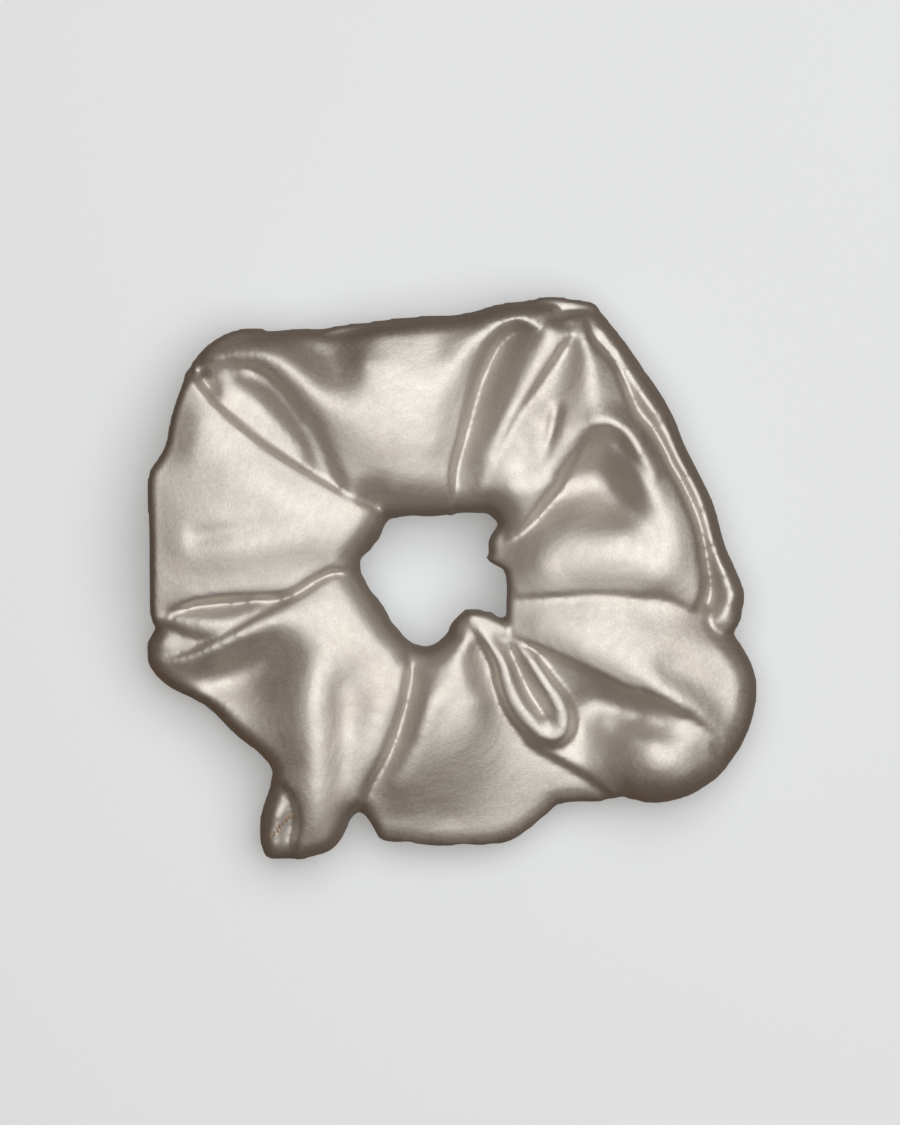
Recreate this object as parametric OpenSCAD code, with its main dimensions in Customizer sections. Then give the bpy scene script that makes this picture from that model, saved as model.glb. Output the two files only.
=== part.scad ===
// Scrunchie: a puffy satin tube gathered into a ring on a loop of flat braided elastic.
// Millimetres, +Z up, lying flat on a table. The origin is on the table, under the
// middle of the outline, and +Z runs through the hole that the hair goes through.
// The ring stretches, so the cover, the elastic and the seam are each split on the
// plane x = 0 into a left and a right half that draw apart along X.

/* [Cover] */
// Longest width of the scrunchie, along X
cover_length = 116; // [95:1:130]
// Height of the fullest lobe above the table
cover_height = 26; // [22:1:34]
// Wall that stands for the fabric with its small gathers
cover_wall = 1; // [0.8:0.1:1.6]
// Roundness of the tube's section: 2 is an ellipse, more is boxier
section_power = 2.4; // [2:0.1:3]

/* [Elastic] */
// Length of the relaxed elastic loop
elastic_loop = 165; // [150:5:180]
// Width of the braided elastic, along Z
elastic_width = 6; // [4:0.5:8]
// Thickness of the braided elastic
elastic_thickness = 1.2; // [0.8:0.1:1.6]
// Length of the overlap where the two ends are sewn together
elastic_overlap = 12; // [8:1:16]

/* [Thread] */
// Diameter of the sewing thread
thread_d = 0.5; // [0.4:0.05:0.8]
// Length of one zigzag stitch across the elastic
zigzag_width = 4; // [3:0.25:5]
// Length of one hand stitch of the closing seam
hand_stitch = 1.2; // [0.8:0.1:1.3]

/* [Split] */
// Clear gap between the two halves of the ring
split_gap = 0.3; // [0.2:0.05:0.6]

/* [Hidden] */

// Lobes round the ring: [angle, radius of the hole, outer radius, height as a share of
// cover_height]. The radii are shares too, scaled below to give cover_length.
stations = [
    [0, 11.5, 55, 0.92], [20, 11, 52, 0.9], [42, 11.5, 54, 0.94], [62, 14, 58.5, 0.86],
    [80, 12.5, 52.5, 0.93], [95, 12, 50, 1], [115, 13, 53.5, 0.97], [140, 17, 63, 0.84],
    [160, 17.5, 59.5, 0.94], [178, 17, 56.5, 0.97], [197, 14, 59, 0.92], [212, 14, 51, 0.9],
    [225, 14, 50, 0.84], [236, 14.5, 64, 0.7], [247, 14, 56, 0.8], [256, 13, 50, 0.86],
    [272, 10, 51.5, 0.93], [295, 8.5, 49.5, 0.95], [318, 13, 61.5, 0.96], [332, 12.5, 64, 0.9],
    [345, 12, 58, 0.86], [360, 11.5, 55, 0.92]
];

half_steps = 36;         // rings of points along each half
section_steps = 24;      // points round the tube's section
axis_share = 0.45;       // height of the tube's axis, as a share of the lobe's height
belly_share = 0.5;       // depth of the section under its axis, before the table flattens it

elastic_r = elastic_loop / (2 * PI);
elastic_centre = [-2, 0];
elastic_z = 0.36 * cover_height;
ring_facets = 96;        // facets round the elastic and the seam
join_angle = 176;        // where round the ring the elastic's ends overlap
join_half = elastic_overlap / elastic_r * 90 / PI;
layer_step = 0.98;       // distance between the two sewn ends, as a share of the thickness
join_stitches = 6;
stitched_share = 0.85;   // part of the overlap that the zigzag covers
stitch_end = 0.8;        // how far each zigzag stitch stops short of its corner
thread_lift = 0.3;       // height of a stitch's axis above the elastic, as a share of thread_d

seam_r = 33.5;           // the lengthwise seam lies on the flat underside, inside the tube
closing_from = [-34.5, -48];
closing_to = [-29.5, -44];
closing_stitches = 4;

$fn = 24;

function ease(t) = t * t * (3 - 2 * t);
function wrap(a) = a < 0 ? a + 360 : a >= 360 ? a - 360 : a;

// Station i is the last one at or before the angle
function station_at(a, i = 0) = stations[i + 1][0] > a ? i : station_at(a, i + 1);

// One column of the stations at any angle, eased from lobe to lobe
function lobe(angle, column) =
    let (
        a = wrap(angle),
        i = station_at(a),
        t = (a - stations[i][0]) / (stations[i + 1][0] - stations[i][0])
    )
    stations[i][column] + (stations[i + 1][column] - stations[i][column]) * ease(t);

// The outline is scaled to the cover's length and shifted to centre its box on the origin
half_angles = [for (i = [0:half_steps]) -90 + 180 * i / half_steps];
outline_x = [for (a = half_angles, turn = [0, 180]) lobe(a + turn, 2) * cos(a + turn)];
outline_y = [for (a = half_angles, turn = [0, 180]) lobe(a + turn, 2) * sin(a + turn)];
size = cover_length / (max(outline_x) - min(outline_x));
centre = size * [max(outline_x) + min(outline_x), max(outline_y) + min(outline_y)] / 2;

function hole_r(a) = size * lobe(a, 1);
function outer_r(a) = size * lobe(a, 2);
function lobe_h(a) = cover_height * lobe(a, 3);

function signed_power(v, p) = sign(v) * pow(abs(v), p);

// A point of the tube's section at one angle of the ring, inset from the outside
function section_point(a, t, inset) =
    let (
        mid = (hole_r(a) + outer_r(a)) / 2,
        half_width = (outer_r(a) - hole_r(a)) / 2 - inset,
        axis_z = axis_share * lobe_h(a),
        crown = (1 - axis_share) * lobe_h(a) - inset,
        belly = belly_share * lobe_h(a) - inset,
        r = mid + half_width * signed_power(cos(t), 2 / section_power),
        s = signed_power(sin(t), 2 / section_power)
    )
    [r * cos(a) - centre.x, r * sin(a) - centre.y, max(inset, axis_z + (s > 0 ? crown : belly) * s)];

// Points are kept on their own side of the split, side being +1 right or -1 left
function kept(p, side) = [side * max(side * p.x, split_gap / 2), p.y, p.z];

// The height of the cover's top over a point of the plan
function cover_top(p) =
    let (
        q = [p.x + centre.x, p.y + centre.y],
        a = atan2(q.y, q.x),
        mid = (hole_r(a) + outer_r(a)) / 2,
        u = min(1, abs(norm(q) - mid) / ((outer_r(a) - hole_r(a)) / 2))
    )
    lobe_h(a) * (axis_share + (1 - axis_share) * pow(1 - pow(u, section_power), 1 / section_power));

// Half of the gathered tube as a closed shell: an outer skin, an inner skin and two rims
module cover_half(side) {
    turn = side > 0 ? 0 : 180;
    n = section_steps;
    skin = (half_steps + 1) * n;
    points = [
        for (inset = [0, cover_wall], a = half_angles, j = [0:n - 1])
            kept(section_point(a + turn, 360 * j / n, inset), side)
    ];
    function at(layer, i, j) = layer * skin + i * n + j % n;
    outer = [
        for (i = [0:half_steps - 1], j = [0:n - 1])
            each [[at(0, i, j), at(0, i + 1, j), at(0, i + 1, j + 1)],
                  [at(0, i, j), at(0, i + 1, j + 1), at(0, i, j + 1)]]
    ];
    inner = [
        for (i = [0:half_steps - 1], j = [0:n - 1])
            each [[at(1, i, j), at(1, i + 1, j + 1), at(1, i + 1, j)],
                  [at(1, i, j), at(1, i, j + 1), at(1, i + 1, j + 1)]]
    ];
    rims = [
        for (j = [0:n - 1])
            each [[at(0, 0, j), at(0, 0, j + 1), at(1, 0, j + 1)],
                  [at(0, 0, j), at(1, 0, j + 1), at(1, 0, j)],
                  [at(0, half_steps, j), at(1, half_steps, j + 1), at(0, half_steps, j + 1)],
                  [at(0, half_steps, j), at(1, half_steps, j), at(1, half_steps, j + 1)]]
    ];
    polyhedron(points = points, faces = concat(outer, inner, rims), convexity = 8);
}

// The half space on one side of the split
module side_space(side) {
    reach = 2 * cover_length;
    translate([side > 0 ? split_gap / 2 : -split_gap / 2 - reach, -reach / 2, -reach / 2])
        cube(reach);
}

// An arc of flat band standing on its edge, centred on the given angle
module band_arc(radius, half_angle, at_angle) {
    rotate([0, 0, at_angle - half_angle])
        rotate_extrude(angle = 2 * half_angle, $fn = ring_facets)
            translate([radius - elastic_thickness / 2, -elastic_width / 2])
                square([elastic_thickness, elastic_width]);
}

module elastic_half(side) {
    intersection() {
        translate([elastic_centre.x, elastic_centre.y, elastic_z])
            rotate_extrude($fn = ring_facets)
                translate([elastic_r - elastic_thickness / 2, -elastic_width / 2])
                    square([elastic_thickness, elastic_width]);
        side_space(side);
    }
}

module seam_half(side) {
    intersection() {
        translate([-centre.x, -centre.y, cover_wall + thread_d / 2])
            rotate_extrude($fn = ring_facets) translate([seam_r, 0]) circle(d = thread_d);
        side_space(side);
    }
}

// One straight stitch of thread between two points
module stitch(from, to) {
    run = to - from;
    translate(from)
        rotate([0, acos(run.z / norm(run)), atan2(run.y, run.x)])
            cylinder(h = norm(run), d = thread_d);
}

module satin_cover_left() {
    color([0.88, 0.84, 0.8]) cover_half(-1);
}

module satin_cover_right() {
    color([0.84, 0.79, 0.74]) cover_half(1);
}

// The left half carries the overlap of the two sewn ends
module elastic_band_left() {
    color([0.96, 0.96, 0.94]) union() {
        elastic_half(-1);
        translate([elastic_centre.x, elastic_centre.y, elastic_z])
            band_arc(elastic_r + layer_step * elastic_thickness, join_half, join_angle);
    }
}

module elastic_band_right() {
    color([0.93, 0.93, 0.9]) elastic_half(1);
}

// A row of zigzag stitches on the outer face of the overlap
module elastic_join_stitches() {
    face_r = elastic_r + (layer_step + 0.5) * elastic_thickness + thread_lift * thread_d;
    step = 2 * stitched_share * join_half / join_stitches;
    color([0.75, 0.68, 0.6])
        translate([elastic_centre.x, elastic_centre.y, elastic_z])
            for (i = [0:join_stitches - 1]) {
                a = join_angle + (i - join_stitches / 2) * step;
                rise = (i % 2 == 0 ? 1 : -1) * zigzag_width / 2;
                from = [face_r * cos(a), face_r * sin(a), -rise];
                to = [face_r * cos(a + step), face_r * sin(a + step), rise];
                back = stitch_end * (to - from) / norm(to - from);
                stitch(from + back, to - back);
            }
}

module long_seam_thread_left() {
    color([0.7, 0.62, 0.53]) seam_half(-1);
}

module long_seam_thread_right() {
    color([0.7, 0.62, 0.53]) seam_half(1);
}

// Hand stitches on the tail, where the turned tube was closed over the elastic
module closing_seam_stitches() {
    run = closing_to - closing_from;
    along = run / norm(run);
    color([0.6, 0.48, 0.38])
        for (i = [0:closing_stitches - 1]) {
            mid = closing_from + run * (i + 0.5) / closing_stitches;
            ends = [mid - along * hand_stitch / 2, mid + along * hand_stitch / 2];
            stitch([ends[0].x, ends[0].y, cover_top(ends[0])],
                   [ends[1].x, ends[1].y, cover_top(ends[1])]);
        }
}

satin_cover_left();
satin_cover_right();
elastic_band_left();
elastic_band_right();
elastic_join_stitches();
long_seam_thread_left();
long_seam_thread_right();
closing_seam_stitches();
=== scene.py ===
import math

import bmesh
import bpy
import numpy as np
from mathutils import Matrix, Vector


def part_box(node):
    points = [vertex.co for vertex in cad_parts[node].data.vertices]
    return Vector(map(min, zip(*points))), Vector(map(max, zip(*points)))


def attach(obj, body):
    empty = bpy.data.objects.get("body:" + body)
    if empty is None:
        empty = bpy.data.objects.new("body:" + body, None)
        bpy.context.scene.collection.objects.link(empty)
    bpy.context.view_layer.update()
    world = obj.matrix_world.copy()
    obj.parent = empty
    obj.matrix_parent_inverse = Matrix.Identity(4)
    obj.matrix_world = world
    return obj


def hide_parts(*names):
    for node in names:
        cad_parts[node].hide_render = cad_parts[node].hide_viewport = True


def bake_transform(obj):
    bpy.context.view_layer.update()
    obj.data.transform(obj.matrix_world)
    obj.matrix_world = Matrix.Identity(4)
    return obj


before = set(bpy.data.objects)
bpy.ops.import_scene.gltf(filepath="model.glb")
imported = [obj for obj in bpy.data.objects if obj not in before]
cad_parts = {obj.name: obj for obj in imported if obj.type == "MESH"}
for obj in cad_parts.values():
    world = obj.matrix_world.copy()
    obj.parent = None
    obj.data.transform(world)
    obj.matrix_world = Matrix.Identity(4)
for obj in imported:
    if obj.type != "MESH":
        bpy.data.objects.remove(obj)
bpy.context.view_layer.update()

# The scrunchie lies flat, +Z up. Lengths in the shape data are millimetres, as a
# dressmaker would measure them; MM turns them into the frame's metres.
MM = 0.001
TINY = 1e-9     # keeps a division or a logarithm away from zero
FAR = 1e9       # further than any two points of the grid, squared or not

# -------- curves and fields

def smooth_line(points, spacing):
    """Points along a Catmull-Rom curve through the given ones, about spacing apart."""
    p = np.array(points, float)
    ends = np.vstack([2 * p[0] - p[1], p, 2 * p[-1] - p[-2]])
    out = []
    for a, b, c, d in zip(ends, ends[1:], ends[2:], ends[3:]):
        n = max(1, round(np.linalg.norm(c[:2] - b[:2]) / spacing))
        for t in np.arange(n) / n:
            out.append(0.5 * (2 * b + (c - a) * t + (2 * a - 5 * b + 4 * c - d) * t * t
                              + (3 * b - a - 3 * c + d) * t ** 3))
    return np.vstack([out, p[-1]])


def thin_plate(knots, x, y, stiffness=1e-3):
    """The bent sheet that passes through the knots (x, y, z), read at x, y."""
    def kernel(d2):
        return 0.5 * d2 * np.log(d2 + TINY)
    k = np.array(knots, float)
    n = len(k)
    d2 = ((k[:, None, :2] - k[None, :, :2]) ** 2).sum(2)
    m = np.zeros((n + 3, n + 3))
    m[:n, :n] = kernel(d2) + stiffness * np.eye(n) * d2.mean()
    m[:n, n], m[:n, n + 1:] = 1, k[:, :2]
    m[n:, :n] = m[:n, n:].T
    w = np.linalg.solve(m, np.append(k[:, 2], [0, 0, 0]))
    z = w[n] + w[n + 1] * x + w[n + 2] * y
    for (kx, ky, _), weight in zip(k, w):
        z += weight * kernel((x - kx) ** 2 + (y - ky) ** 2)
    return z


def line_field(line, x, y):
    """Distance from each x, y to an open line of points, and the line's value there."""
    best, value = np.full(x.shape, FAR), np.zeros(x.shape)
    for (ax, ay, av), (bx, by, bv) in zip(line[:-1], line[1:]):
        dx, dy = bx - ax, by - ay
        t = np.clip(((x - ax) * dx + (y - ay) * dy) / max(dx * dx + dy * dy, TINY), 0, 1)
        d2 = (x - ax - t * dx) ** 2 + (y - ay - t * dy) ** 2
        nearer = d2 < best
        best = np.where(nearer, d2, best)
        value = np.where(nearer, av + t * (bv - av), value)
    return np.sqrt(best), value


def inside(loop, x, y):
    """Which x, y lie inside a closed loop of points."""
    hit = np.zeros(x.shape, bool)
    for (ax, ay), (bx, by) in zip(loop[:, :2], np.roll(loop[:, :2], -1, axis=0)):
        if ay == by:
            continue
        crosses = (ay > y) != (by > y)
        hit ^= crosses & (x < (bx - ax) * (y - ay) / (by - ay) + ax)
    return hit

# -------- the folds of the satin

# How a panel's rim turns down: (radius of the turn, how far it falls).
EDGE = (2.4, 4.6)      # round the outside of the ring, where the cloth lies thin
TIGHT = (0.01, 0.0)    # round the outside or the hole, level up to a side that drops past it
SIDE = (4.6, 7.0)      # round the outside of the ring, where it is puffed
WIDE = (8.0, 7.5)      # round the hole, like the side of a tube
HOLE = (4.6, 5.0)      # round the hole
CREASE = (0.8, 0.8)    # a pressed fold that lies over the next panel
FOLD = (1.7, 1.5)      # a fold that lies over the next panel
SOFT = (3.5, 2.6)      # a rounder fold over the next panel
TUCK = (0.0, 0.0)      # hidden under the next panel

# Each panel is one smooth stretch of satin between folds. "rim" is its outline as runs of
# (turn, points), and "form" holds ridges, valleys and hollows across it, all as (x, y, z).
# Where they aren't MELT and KNOT_STEP, "melt" is how softly the panel runs into the one
# below it and "step" is the spacing of its knots. Later panels lie over earlier ones.
PANELS = {
    "back_top": {"rim": [
        (TUCK, [(-27, 44, 12), (0, 46, 12), (12, 48, 12), (26, 46, 12), (27, 50, 12)]),
        (TIGHT, [(27, 48.1, 12), (26.4, 50.7, 12.5), (23, 51.5, 12.8), (18.4, 52, 13), (14.6, 51.1, 13),
                 (8.4, 49.9, 13), (2.7, 48.2, 13), (-3, 47.7, 13), (-10, 47.3, 13), (-16, 46.9, 13),
                 (-21, 46.5, 13), (-25.4, 45.1, 12.6), (-27, 42.1, 12)]),
    ], "form": [
        [(-20, 47, 13), (0, 48, 13), (20, 51, 13)],
    ]},
    "left": {"rim": [
        (CREASE, [(-49, 38, 18.4), (-44.7, 33, 19), (-39, 28, 19.4), (-35.5, 25.3, 19.6),
                  (-28.7, 20.9, 19.8), (-20.6, 16.1, 19.8), (-13.1, 12, 19)]),
        (HOLE, [(-13.1, 12, 19), (-14.2, 9, 19), (-18.2, 3.6, 19), (-18.2, 1.8, 18.4)]),
        (FOLD, [(-18.2, 1.8, 18.4), (-22.6, 1.2, 18.6), (-26, -0.4, 18.8), (-30.4, -3.0, 19),
                (-35.3, -3.6, 19), (-43, -3.9, 19), (-48.8, -4.7, 18.4), (-53.3, -6.5, 17)]),
        (TIGHT, [(-53.3, -6.5, 17), (-55.5, -7.5, 16.6), (-55.7, 0, 18), (-55.8, 9, 18), (-56, 18.5, 18),
                 (-54.8, 21, 18), (-52.8, 24.6, 18), (-51.5, 30.7, 18), (-49, 38, 18.4)]),
    ], "form": [
        [(-48, 30, 19.4), (-49, 22, 19.6), (-40, 20, 21), (-32, 16, 21.4), (-24, 12, 20.8)],
        [(-50, 12, 19.6), (-44, 12.4, 20.6), (-36, 13, 21.2)],
        [(-51, 5, 19.4), (-42, 5.4, 20.8), (-32, 6.4, 21), (-25, 7, 20.4)],
        [(-50, 0, 18.8), (-42, 0.8, 19.8), (-33, 1.2, 19.8), (-26, 3.6, 19.6)],
    ]},
    "left_facet": {"rim": [
        (TUCK, [(-47, 35.5, 16.8), (-41, 27, 17), (-32, 20.5, 17.8), (-21, 13.5, 18.6)]),
        (TUCK, [(-21, 13.5, 18.4), (-17, 17, 18), (-21, 27, 17), (-26, 35, 16.6), (-31, 40.5, 16.4)]),
        (SIDE, [(-31, 40.5, 16.4), (-38, 43, 15.6), (-44, 43, 15.6), (-48.5, 39.5, 16), (-49, 37.5, 16.4),
                (-47, 35.5, 16.6)]),
    ], "form": [
        [(-46, 37, 16.8), (-41.5, 32, 16.9), (-36, 27.7, 17.2), (-28, 22, 18)],
        [(-39.5, 38.6, 18), (-35.8, 37.2, 18.4), (-32, 33.2, 18.8), (-28.6, 28.4, 19), (-25.4, 23, 19.2)],
        [(-43, 38, 16.9), (-38.8, 36, 16.8), (-35, 33, 16.8), (-31.8, 29, 17.2), (-28.4, 25, 18)],
    ]},
    "top": {"melt": 1.5, "rim": [
        (WIDE, [(-14.5, 13, 19.5), (-12.5, 12.2, 19.8), (-6, 12.2, 20), (0.4, 12.4, 19.5)]),
        (CREASE, [(0.4, 12.4, 19.5), (-0.1, 16, 19.6), (0.2, 21, 19.8), (1.8, 27, 20), (3.3, 34.5, 20.4),
                  (4.2, 38, 20.8), (5.4, 41, 21), (7.1, 44.5, 21.2), (9, 46.6, 21.2)]),
        (FOLD, [(9, 46.6, 21.2), (11.2, 47.9, 21), (13.2, 48.1, 20.8), (15, 47, 20.6)]),
        (TUCK, [(15, 47, 20.6), (18, 48, 20)]),
        (EDGE, [(18, 48, 20), (20, 51.2, 18), (14, 51.8, 18), (8.4, 51.2, 18.5), (2.7, 49.6, 19),
                (-3, 48.8, 19.5), (-10, 48.2, 19.5)]),
        (EDGE, [(-10, 48.2, 19.5), (-14.5, 47.6, 19.5), (-18, 47, 17.5), (-22, 46.6, 15.5), (-27, 47, 15),
                (-35.5, 46.8, 16)]),
        (TIGHT, [(-35.5, 46.8, 16), (-41.6, 45.3, 16.6), (-45.7, 42.9, 16.6), (-48, 40.4, 16.6)]),
        (SOFT, [(-48, 40.4, 16.6), (-45, 39.6, 17.6), (-42, 39.8, 18.2)]),
        (FOLD, [(-42, 39.8, 18.2), (-38.5, 39.8, 18.8), (-35, 38.2, 19.4), (-31, 34, 19.8),
                (-27.4, 28.6, 20)]),
        (SOFT, [(-27.4, 28.6, 20), (-24.4, 23, 20.2), (-22, 18, 20), (-20, 14.5, 19.4), (-14.5, 13, 19)]),
    ], "form": [
        [(-45, 41.4, 18.2), (-38.2, 43, 20.2), (-33.5, 41.6, 21.4), (-28.7, 37.6, 22), (-23.5, 32, 22.4),
         (-18.5, 25, 22)],
        [(-26, 43, 17), (-22.5, 41.5, 17.6), (-21, 38.5, 19.8)],
        [(-17, 41, 21.8), (-10, 44, 21.4), (-3, 43, 21.4)],
        [(-18, 33, 22.8), (-12, 34, 23), (-6, 32, 23), (-2, 36, 22.6)],
        [(-15, 25, 22.4), (-9, 24, 22.4), (-4, 25, 22)],
        [(0.5, 39, 22.4), (3.3, 43, 22.6), (6, 46.2, 22.4), (9.2, 48.4, 22), (12.8, 49.6, 21.4)],
    ]},
    "top_strip": {"rim": [
        (TUCK, [(0, 12.6, 16), (-2.5, 16, 17), (-1.5, 27, 17), (1.5, 37, 16.6), (5, 44, 16.4),
                (11, 49.6, 18)]),
        (SIDE, [(11, 49.6, 18), (14, 51.4, 17), (17.8, 51.4, 17), (21, 50.8, 17), (24, 49.8, 16.6)]),
        (CREASE, [(24, 49.8, 16.6), (24, 48.4, 18), (23.4, 46.9, 19.2), (21.3, 44.4, 20),
                  (19.4, 41.6, 20.4), (15.4, 35.5, 20.6), (11.2, 28.1, 20.4), (8.1, 21.3, 19.8),
                  (6.6, 16.3, 19), (6.4, 13.2, 18)]),
        (HOLE, [(6.4, 13.2, 18), (3.5, 12.6, 17), (0, 12.6, 16)]),
    ], "form": [
        [(13.8, 47.6, 17.2), (10.8, 46.9, 15.6), (7.9, 45.2, 14.6), (5.5, 41.8, 14.2), (4, 38, 14.4),
         (3, 33.6, 15.2), (1.3, 26.3, 16.8), (0.4, 19, 17.2)],
        [(13, 43.4, 18.8), (10.4, 39.6, 18), (8.4, 35.2, 18), (6.6, 30, 18.6)],
        [(18.4, 47.6, 20.4), (16.8, 43, 21), (12.9, 35.6, 21), (9.4, 28.6, 20.8), (6.8, 22.6, 20)],
        [(4.4, 18, 18.6)],
        [(17, 49.6, 19), (21, 48.6, 18.6)],
    ]},
    "upper_right": {"rim": [
        (TUCK, [(22, 50, 17.4), (18.5, 45, 18.8), (13.5, 36, 19.8), (8, 26, 19.8), (4.5, 17, 18.8),
                (4.5, 13.6, 17.6)]),
        (HOLE, [(4.5, 13.6, 17), (6.5, 13, 17), (9, 11, 17), (8.6, 8.2, 16.5), (9.2, 5.6, 16)]),
        (FOLD, [(9.2, 5.6, 16), (14.4, 10.2, 18.6), (17.4, 14.2, 19.6), (20.9, 19, 20.4)]),
        (SOFT, [(20.9, 19, 20.4), (24, 23.6, 21.2), (26.2, 26.2, 21.4), (29, 27.2, 21.4),
                (31.8, 25.8, 21.2), (33.6, 22, 20.8), (36, 17, 20.2)]),
        (TUCK, [(36, 17, 20.2), (40, 16, 19), (42, 15, 17.8)]),
        (FOLD, [(42, 15, 17.8), (41, 21.6, 17.8), (37.6, 28.1, 18), (35, 31.3, 18.2), (33.2, 35.5, 18.2),
                (31.6, 39.2, 18), (29.2, 42.9, 18), (27.2, 45, 17.8), (26, 47.6, 17.4), (25.2, 50, 16.5),
                (22, 50, 17)]),
    ], "form": [
        [(25.4, 46.6, 19), (26.4, 42, 20.4), (26.6, 36, 21.4), (25, 31, 22), (24, 28, 22)],
        [(22.4, 43.6, 18.4), (20, 39, 18.6), (17.2, 34, 19.4)],
        [(15.4, 30, 20.6), (12.6, 24, 20.4)],
        [(14, 21, 20.2), (11.4, 17.4, 20.8), (12.5, 13.6, 19.6)],
        [(19.5, 22, 21), (16.5, 17, 20.6)],
        [(27.8, 28.8, 23), (31.4, 28.2, 23), (35, 23.6, 22.4), (38.5, 18.5, 21)],
        [(30.6, 33, 20.6), (29, 38, 20)],
    ]},
    "right": {"rim": [
        (TIGHT, [(8, 4.5, 15), (11.4, 2.4, 17), (12, -1, 18), (12, -3.8, 17.6)]),
        (CREASE, [(12, -3.8, 17.6), (17.8, -3.5, 19.2), (25.7, -3.1, 19.6), (30.9, -3.3, 19.6),
                  (37, -3.7, 19.2)]),
        (FOLD, [(37, -3.7, 19.2), (40.5, -4.3, 18.4), (45.3, -7.0, 17)]),
        (FOLD, [(45.3, -7.0, 17), (47.1, -5, 17.4), (47.9, -1.9, 17.6), (47.8, 1.5, 17.6),
                (46.6, 9.4, 17.8), (44, 15.9, 18), (41, 21.6, 18)]),
        (TUCK, [(41, 21.6, 18), (35, 27, 17.8), (30, 27.5, 20), (26, 26, 19.6), (21, 20.5, 15.6),
                (14.4, 14, 14.8), (8.2, 8, 14.8), (8, 4.5, 15)]),
    ], "form": [
        [(25.6, 23.6, 17.4), (28.6, 24.6, 18), (31, 23, 18.2), (32.4, 20, 18.2), (34.4, 15.4, 18.8)],
        [(24, 19.6, 15), (27.4, 20.2, 14.8), (29.6, 18, 15), (31.4, 14.6, 16.2)],
        [(19.4, 14, 15.6), (23, 15.4, 15.4), (26.6, 14.6, 16), (30.6, 12.4, 17.4), (34.6, 11.6, 19)],
        [(14.5, 8.6, 17), (18, 8.6, 18.8), (22, 10, 19.2), (27, 10, 19.6), (33, 9.4, 20.4),
         (38, 8.4, 20.4)],
        [(34.4, 22, 21), (35.8, 17.5, 20.8), (38.5, 13, 20.6), (42, 9, 20.2), (44, 4.6, 19.6),
         (44.6, 0, 19)],
        [(17, 2.5, 20.2), (24, 2, 21), (32, 1.5, 21.2), (39, 0, 20.6)],
    ]},
    "outer_ruffle": {"rim": [
        (SIDE, [(26.2, 52.4, 14), (29.6, 49, 15), (35.3, 41.6, 15), (41.4, 32.5, 15), (44, 25.9, 15),
                (46.6, 20.7, 15), (49.7, 14.2, 15), (51.9, 6.3, 15), (54.1, 1.5, 15), (55.9, -2.9, 15),
                (55.4, -6, 15)]),
        (TIGHT, [(55.4, -6, 15), (52.3, -9.2, 14.6), (47.9, -9.6, 14)]),
        (TUCK, [(47.9, -9.6, 14), (44, -7, 13), (44, 0, 12.6), (42.5, 10, 13), (38, 20, 13.4),
                (31.5, 30, 13.4), (28.5, 38, 13.4), (25, 44, 13.6), (23.5, 50, 13.8), (26.2, 52.4, 14)]),
    ], "form": [
        [(26.8, 50, 16.4), (29.6, 47.2, 17.2), (31.6, 43.6, 17.4), (33.2, 39.4, 17.4), (35.6, 35.6, 17.6),
         (39.4, 31.4, 17.8), (41.4, 27.4, 17.8), (43, 22.6, 17.8), (46, 18.4, 17.6), (47.8, 13.4, 17.4),
         (49.2, 7.4, 17.2), (52, 1.4, 17), (54, -2.6, 16.6), (53, -6.4, 16), (50, -8.6, 15.4)],
        [(28.6, 43, 14.8), (30.9, 38.5, 14.4), (32.5, 34.6, 14.2), (35.2, 30.1, 13.8), (38.7, 25.4, 13),
         (41.6, 19.6, 12.6), (44.2, 14.6, 12.6), (46.4, 7.8, 12.2), (47.6, 2, 11.4), (48.4, -3, 10.8),
         (47.2, -6.6, 12)],
    ]},
    "lower_right_top": {"rim": [
        (TUCK, [(12.2, -1, 16.8), (20, -0.5, 18.4), (30, -0.5, 18.8), (38, -1, 18.4), (44, -3.5, 17),
                (48, -6, 15), (51.8, -8.4, 14)]),
        (SIDE, [(51.8, -8.4, 14), (54.5, -12, 15), (57.1, -16.9, 15.4), (57.9, -21.4, 15.4),
                (57.1, -26.7, 15.2), (55.3, -31.5, 14.6), (52.6, -35.8, 13.6)]),
        (TUCK, [(52.6, -35.8, 13.6), (50.6, -33, 15.6)]),
        (SOFT, [(50.6, -33, 15.6), (48.4, -30, 17.6), (44.6, -26.8, 18.8)]),
        (FOLD, [(44.6, -26.8, 18.8), (40, -24, 19.6), (35.7, -21.9, 19.9)]),
        (CREASE, [(35.7, -21.9, 19.9), (32.3, -20.7, 20), (27.8, -18.4, 20), (20.3, -15, 19.4),
                  (11.4, -11.3, 17.6)]),
        (TIGHT, [(11.4, -11.3, 17.6), (11.8, -8, 17.4), (12, -4, 17.2), (12.2, -1, 16.8)]),
    ], "form": [
        [(16, -9.5, 19), (20, -9, 19.9), (25, -9, 20.5), (33, -10, 20.4), (40, -11, 19.2), (46, -13, 17.8),
         (51, -16, 16.6)],
        [(24.5, -14.3, 20.6), (29.7, -16.2, 20.9), (35.4, -19, 21), (41, -22.2, 20.6), (45.4, -25.4, 19.4),
         (48.6, -28.6, 17.8)],
        [(41, -17, 19.2), (46, -20, 18), (51, -24, 16.4), (53, -29, 15.4)],
        [(20, -5, 19), (30, -5, 19.6), (40, -6, 18)],
    ]},
    "lower_right_bottom": {"rim": [
        (TUCK, [(12, -10, 16.4), (20, -13.6, 18.2), (28, -17.2, 18.8), (35, -20.4, 18.8), (41, -23.6, 18.4),
                (48, -28.4, 17), (53, -33, 14)]),
        (SIDE, [(53, -33, 14), (51.9, -36.4, 15), (47.7, -39.8, 16), (43.2, -42, 16.2), (38.4, -42.8, 15.4),
                (35.3, -42.4, 14), (32.7, -41.9, 13)]),
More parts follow.
